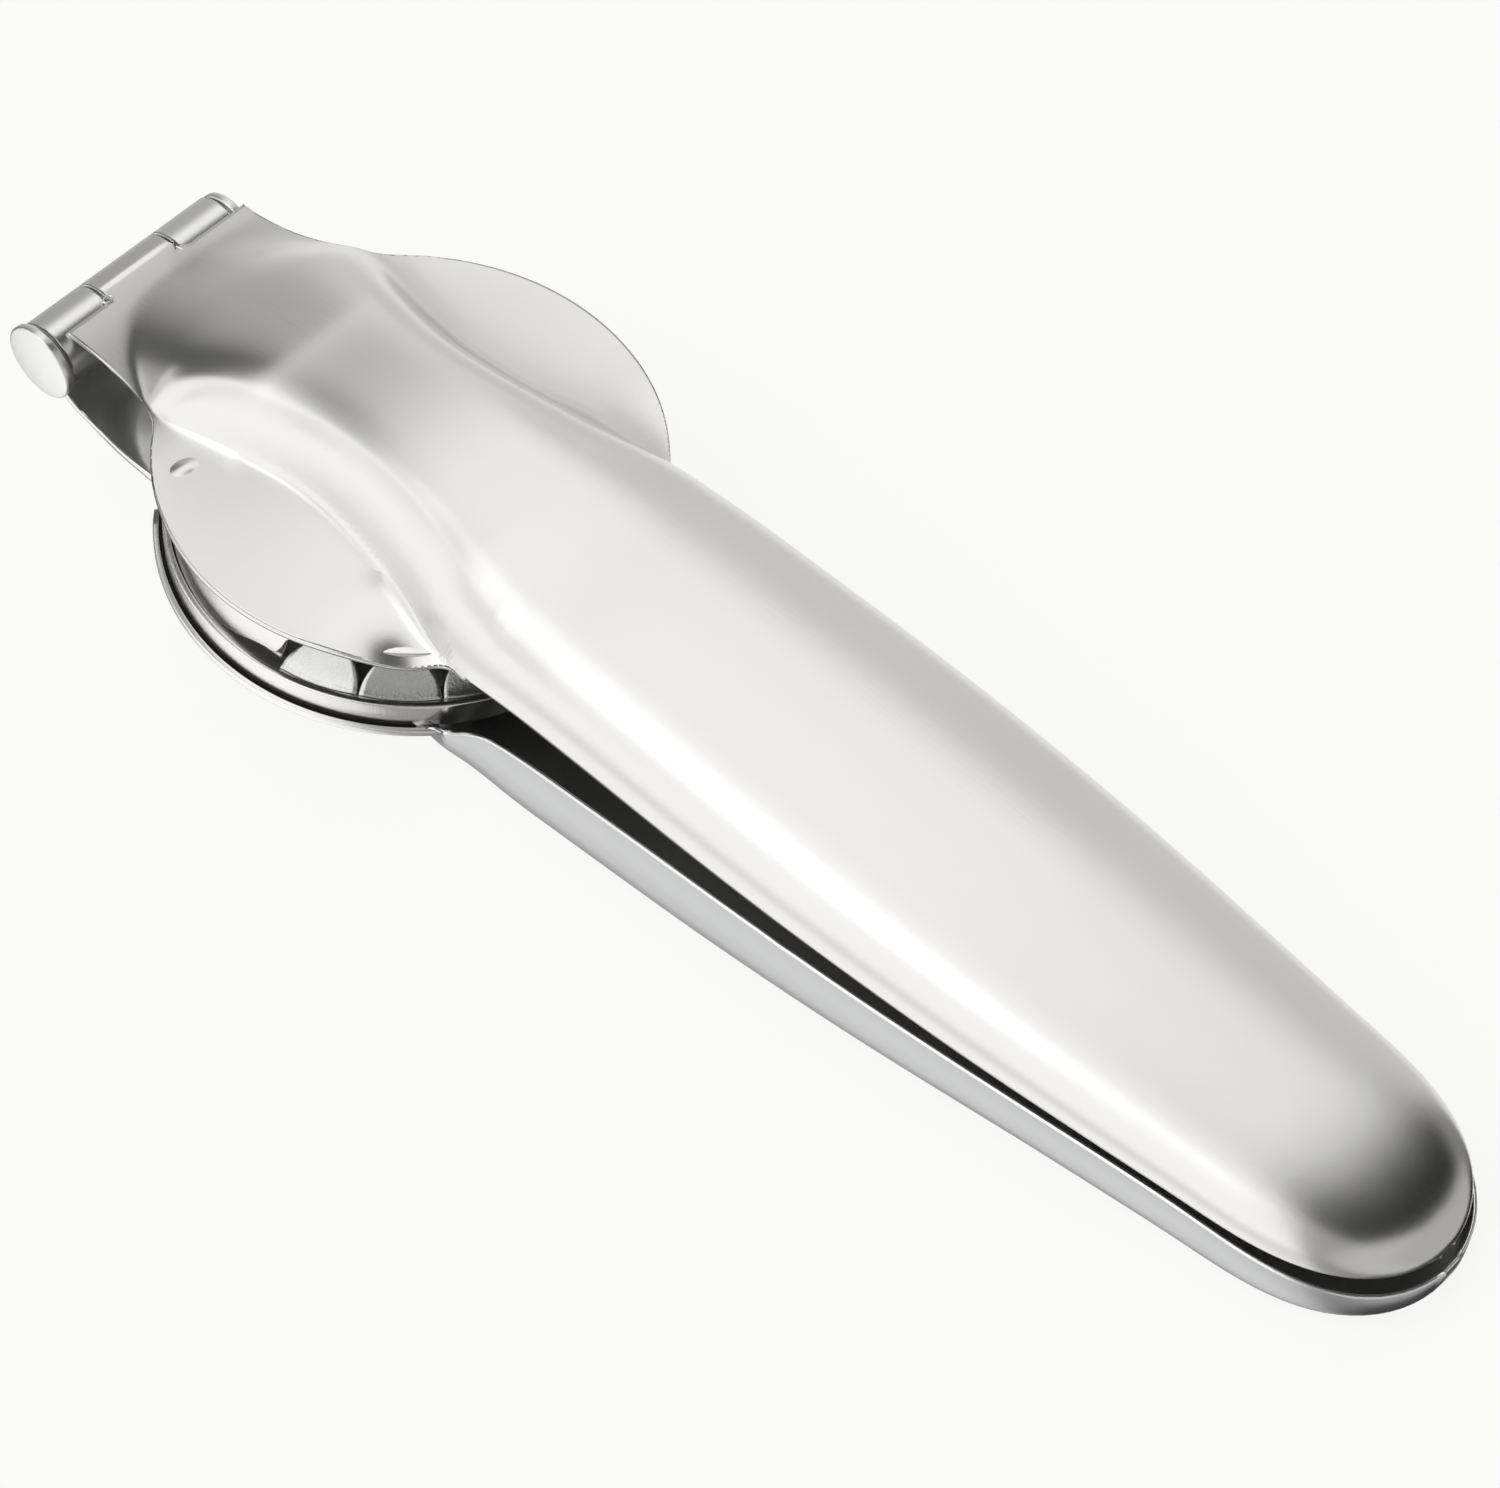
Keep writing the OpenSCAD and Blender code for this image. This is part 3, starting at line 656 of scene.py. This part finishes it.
def make_crown():
    """The toothed crown: a ring with bent-up teeth, each a curved leaf with a rounded end."""
    ring = rounded([(26.3, SEAT), (26.3, -8.75), (23.9, -8.75), (23.9, -9.4), (25.6, -9.4), (25.6, SEAT)],
                   0.2)
    n, m = len(ring), 216
    parts = []
    for i in range(m):
        c, s = math.cos(2 * math.pi * i / m), math.sin(2 * math.pi * i / m)
        parts.append(np.stack([TROUGH_X + ring[:, 0] * c, ring[:, 0] * s, ring[:, 1]], -1))
    faces = loop_faces(m, n)
    offset = m * n
    for k in range(TEETH):
        centre = 11.0 + 360 / TEETH * k
        away = abs((centre + 180) % 360 - 180)
        front = away < 75
        base_r = 26.0 if front else 24.6
        base_z = -8.7 if front else -8.85
        half = 9.7 if front else 8.6
        steep = math.radians(44 if front else 42)
        length = 5.8 if front else 5.0
        rows, cols = 13, 15
        g = np.zeros((rows, cols, 3))
        for i in range(rows):
            t = i / (rows - 1)
            taper = (1 - t**1.7) ** 0.75 * 0.94 + 0.06
            out_t = length * t
            bend = 0.9 * (1 - math.exp(-out_t / 0.9))
            run = out_t * math.cos(steep) + bend * (1 - math.cos(steep))
            rise = max(out_t - bend * 0.6, 0) * math.sin(steep)
            for j in range(cols):
                u = -1 + 2 * j / (cols - 1)
                span = math.radians(half * u * taper)
                curl = 0.25 * (u * taper) ** 2
                r = base_r - run
                a = math.radians(centre) + span * base_r / max(r, 1)
                g[i, j] = TROUGH_X + r * math.cos(a), r * math.sin(a), base_z + rise + curl
        nrm = grid_normals(g)
        if nrm[:, :, 2].mean() < 0:
            nrm = -nrm
            g = g[:, ::-1]
            nrm = nrm[:, ::-1]
        verts, fs, _ = sheet(g, g - 0.62 * nrm, np.ones((rows - 1, cols - 1), bool), bulge=0.14)
        parts.append(verts)
        faces += [[v + offset for v in f] for f in fs]
        offset += len(verts)
    return mesh_piece("tooth_crown_pressed", np.concatenate(parts), faces, [CROWN_STEEL])


fit(make_crown(), "tooth_crown", "lower_body")


def skirt_profile(a):
    """The skirt plate: a disc under the lid with a turned-down edge, deep at the hinge side only."""
    away = abs((a + 180) % 360 - 180)
    low = -2.3 - 3.9 * float(smooth_step((away - 75) / 5)) - 2.0 * float(smooth_step((away - 82) / 16))
    return rounded([(0.02, -1.2), (25.2, -1.2), (25.2, low), (26, low), (26, -0.45), (0.02, -0.45)], 0.3)


fit(ring_piece("skirt_plate_pressed", skirt_profile, BAND_STEEL), "skirt_plate", "upper_body")


def make_oval():
    """Small raised oval pad on the lid's near wing."""
    rows, steps = 9, 48
    cx, cy, turned = 25.6, -18.45, math.radians(78.0)
    verts, faces = [], []
    for i in range(rows + 1):
        rho = i / rows
        lift = 0.26 * math.cos(math.pi / 2 * rho) ** 1.3 - 0.05
        for k in range(steps):
            t = 2 * math.pi * k / steps
            u, v = 2.05 * rho * math.cos(t), 1.3 * rho * math.sin(t)
            x = cx + u * math.cos(turned) - v * math.sin(turned)
            y = cy + u * math.sin(turned) + v * math.cos(turned)
            verts.append((x, y, float(lid_z(np.array(x), np.array(y))) + lift))
    for i in range(rows):
        for k in range(steps):
            q = (k + 1) % steps
            faces.append([i * steps + k, (i + 1) * steps + k, (i + 1) * steps + q, i * steps + q])
    base = len(verts)
    for k in range(steps):
        x, y, z = verts[rows * steps + k]
        verts.append((x, y, z - 0.2))
    for k in range(steps):
        q = (k + 1) % steps
        faces.append([rows * steps + k, base + k, base + q, rows * steps + q])
    faces.append([base + k for k in range(steps)][::-1])
    return mesh_piece("lid_oval_mark", verts, faces, [LID_STEEL])


add(make_oval(), "upper_body")


def make_burr():
    """The torn loop of metal left in the near notch's inner corner."""
    big, small, steps, turns = 0.5, 0.14, 40, 12
    cx, cy, cz = 1.5, -7.0, -1.5
    verts, faces = [], []
    for i in range(steps):
        a = 2 * math.pi * i / steps
        for k in range(turns):
            b = 2 * math.pi * k / turns
            r = big + small * math.cos(b)
            verts.append((cx + 0.8 * r * math.cos(a), cy + 1.15 * r * math.sin(a), cz + small * math.sin(b)))
    for i in range(steps):
        for k in range(turns):
            p, q = (i + 1) % steps, (k + 1) % turns
            faces.append([i * turns + k, p * turns + k, p * turns + q, i * turns + q])
    return mesh_piece("notch_burr", verts, faces, [EDGE_STEEL])


add(make_burr(), "upper_body")

# ---------------------------------------------------------------------------
# Materials on the CAD nodes that stay
for name, mat in (("hinge_pin", HINGE_STEEL), ("cross_blade", CROWN_STEEL)):
    data = frame["nodes"][name].data
    data.materials.clear()
    data.materials.append(mat)

# ---------------------------------------------------------------------------
# Floor, light and camera. The floor stays out of the steel's reflections: the world lights them.
floor_mat = bpy.data.materials.new("floor_paper")
floor_mat.use_nodes = True
fb = floor_mat.node_tree.nodes["Principled BSDF"]
fb.inputs["Base Color"].default_value = (0.14, 0.14, 0.138, 1)
fb.inputs["Roughness"].default_value = 0.85
fb.inputs["Emission Color"].default_value = (1.0, 1.0, 0.985, 1)
fb.inputs["Emission Strength"].default_value = 0.86
floor_mesh = bpy.data.meshes.new("floor")
floor_mesh.from_pydata([(-3, -3, 0), (3, -3, 0), (3, 3, 0), (-3, 3, 0)], [], [(0, 1, 2, 3)])
floor_mesh.materials.append(floor_mat)
floor = bpy.data.objects.new("floor", floor_mesh)
floor.location = (0, 0, -0.0006)
bpy.context.scene.collection.objects.link(floor)
floor.visible_glossy = False

world = bpy.data.worlds.new("studio")
bpy.context.scene.world = world
world.use_nodes = True
wt = world.node_tree
wt.nodes.clear()
out = wt.nodes.new("ShaderNodeOutputWorld")
bg = wt.nodes.new("ShaderNodeBackground")
wt.links.new(bg.outputs[0], out.inputs[0])
coord = wt.nodes.new("ShaderNodeTexCoord")


def lobe(direction, lo, hi):
    """1 towards the direction, falling to 0 between the two cosines."""
    d = Vector(direction).normalized()
    dot = wt.nodes.new("ShaderNodeVectorMath")
    dot.operation = "DOT_PRODUCT"
    wt.links.new(coord.outputs["Generated"], dot.inputs[0])
    dot.inputs[1].default_value = d
    r = wt.nodes.new("ShaderNodeMapRange")
    r.interpolation_type = "SMOOTHSTEP"
    r.inputs["From Min"].default_value = lo
    r.inputs["From Max"].default_value = hi
    wt.links.new(dot.outputs["Value"], r.inputs["Value"])
    return r.outputs["Result"]


def math_node(op, a, b):
    n = wt.nodes.new("ShaderNodeMath")
    n.operation = op
    for k, v in enumerate((a, b)):
        if isinstance(v, (int, float)):
            n.inputs[k].default_value = v
        else:
            wt.links.new(v, n.inputs[k])
    return n.outputs[0]


def layer(value, mask, target):
    """value, moved to target where the mask is 1."""
    return math_node("ADD", value, math_node("MULTIPLY", mask, math_node("SUBTRACT", target, value)))


def both(*masks):
    value = masks[0]
    for m in masks[1:]:
        value = math_node("MULTIPLY", value, m)
    return value


def inverse(mask):
    return math_node("SUBTRACT", 1.0, mask)


# The studio round the press, by direction: bright overhead and on the near side, dark towards the tips
# and behind the hinge, each patch with soft edges.
level = 0.70
glow = both(inverse(lobe((1, 0, 0), 0.03, 0.09)), inverse(lobe((0, 1, 0), 0.50, 0.74)),
            inverse(lobe((-1, 0, 0), 0.40, 0.54)))
level = layer(level, glow, 1.13)
level = layer(level, lobe((-0.2, -0.95, 0.2), 0.08, 0.5), 1.17)
level = layer(level, lobe((0, 0, -1), -0.05, 0.35), 0.90)
neck = both(lobe((-1, 0, 0), 0.37, 0.45), inverse(lobe((-1, 0, 0), 0.50, 0.58)),
            lobe((0, 1, 0), -0.90, -0.76), lobe((0, 0, 1), 0.3, 0.4))
level = layer(level, neck, 0.84)
wedge = both(lobe((-1, 0, 0), 0.47, 0.62), lobe((0, 1, 0), -0.44, -0.34),
             inverse(lobe((0, 1, 0), 0.12, 0.68)))
level = layer(level, wedge, 0.10)
level = layer(level, lobe((-0.933, -0.319, 0.168), 0.955, 0.99), 0.75)
level = layer(level, lobe((-0.36, -0.5, -0.79), 0.85, 0.97), 1.15)
tip_side = both(lobe((1, 0, 0), 0.02, 0.085), lobe((0.953, 0.302, 0), 0.03, 0.10))
level = layer(level, tip_side, 0.0)
level = layer(level, both(tip_side, lobe((0, 1, 0), 0.80, 0.95)), 0.22)
level = layer(level, both(tip_side, lobe((0, -1, 0), 0.12, 0.38)), 0.32)
level = layer(level, lobe((1, 0, 0), 0.50, 0.64), 0.58)
level = layer(level, lobe((0.9, 0.43, 0), 0.66, 0.80), 0.50)
level = layer(level, lobe((-0.35, 0.1, -0.93), 0.86, 0.96), 0.48)
wt.links.new(level, bg.inputs["Strength"])
bg.inputs["Color"].default_value = (1.0, 0.995, 0.985, 1)


softbox = bpy.data.lights.new("key_softbox", "AREA")
softbox.shape = "RECTANGLE"
softbox.size, softbox.size_y = 0.7, 0.5
softbox.energy = 0.3
key = bpy.data.objects.new("key_softbox", softbox)
key.location = (-0.25, -0.45, 0.85)
key.rotation_euler = Vector(key.location).to_track_quat("Z", "Y").to_euler()
bpy.context.scene.collection.objects.link(key)

# The camera stands where the reference view was taken from, in the arm frame and in millimetres.
az, el, roll = map(math.radians, (37.708, 54.098, 5.523))
back = np.array([math.sin(az) * math.cos(el), -math.cos(az) * math.cos(el), math.sin(el)])
right0 = np.array([math.cos(az), math.sin(az), 0])
up0 = np.cross(back, right0)
right = math.cos(roll) * right0 + math.sin(roll) * up0
up = -math.sin(roll) * right0 + math.cos(roll) * up0
target = np.array([90.0, 0, 0]) - 0.230 * right - 2.997 * up
distance = 471.89
eye = target + distance * back
cam_data = bpy.data.cameras.new("camera")
cam_data.sensor_fit = "HORIZONTAL"
cam_data.sensor_width = 36
cam_data.lens = 36 * 4601.6 / 1500
cam_data.clip_start, cam_data.clip_end = 0.01, 20
cam = bpy.data.objects.new("camera", cam_data)
bpy.context.scene.collection.objects.link(cam)
r3, u3, b3 = turn(right), turn(up), turn(back)
at = place(eye)
cam.matrix_world = Matrix(((r3[0], u3[0], b3[0], at[0]), (r3[1], u3[1], b3[1], at[1]),
                           (r3[2], u3[2], b3[2], at[2]), (0, 0, 0, 1)))
bpy.context.scene.camera = cam
bpy.context.scene.view_settings.view_transform = "Standard"
